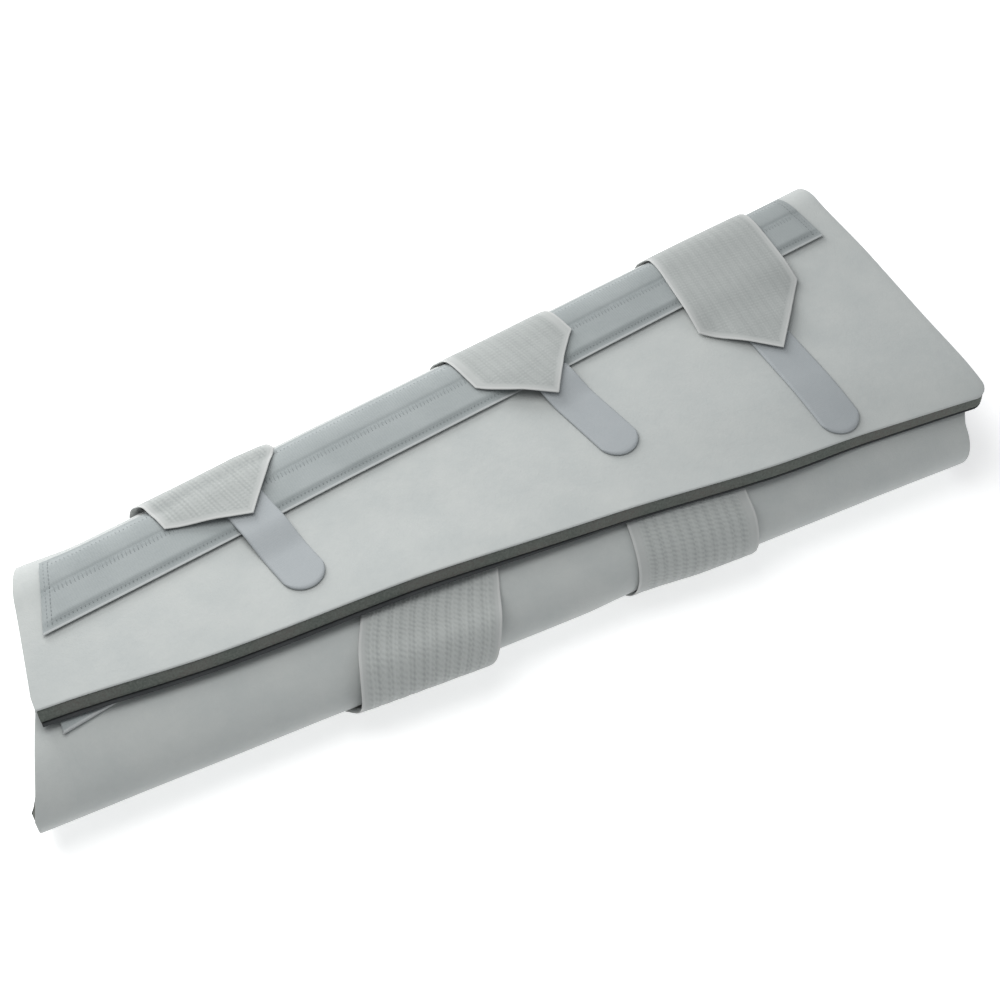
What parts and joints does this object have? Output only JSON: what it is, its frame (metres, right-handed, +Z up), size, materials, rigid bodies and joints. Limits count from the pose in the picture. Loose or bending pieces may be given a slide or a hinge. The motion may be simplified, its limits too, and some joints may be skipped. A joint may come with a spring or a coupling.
{
  "type": "knee immobilizer",
  "caption": "Tapered foam leg wrap rolled shut and lying on its side, with stay pockets and wide pointed elastic straps held by round-ended tabs.",
  "frame": {"origin": "centre of the bounding box in plan, on the surface that the straps' undersides rest on", "axes": "+X from the ankle end to the thigh end, +Y from the front fold to the back fold, +Z up"},
  "size_m": [0.532, 0.1994, 0.0697],
  "materials": {
    "wrap_cloth": "brushed loop cloth on closed foam, matte",
    "pocket_cloth": "ribbed woven cloth, matte",
    "strap_elastic": "knitted elastic with smooth selvages, matte",
    "tab_hook": "flat hook tape back, matte"
  },
  "bodies": {
    "root": {"wrap": "wrap_cloth", "outer_stay_pocket": "pocket_cloth", "inner_stay_pocket": "pocket_cloth", "strap_ankle": "strap_elastic", "strap_knee": "strap_elastic", "strap_thigh": "strap_elastic", "hook_tab_ankle": "tab_hook", "hook_tab_knee": "tab_hook", "hook_tab_thigh": "tab_hook"}
  },
  "joints": []
}
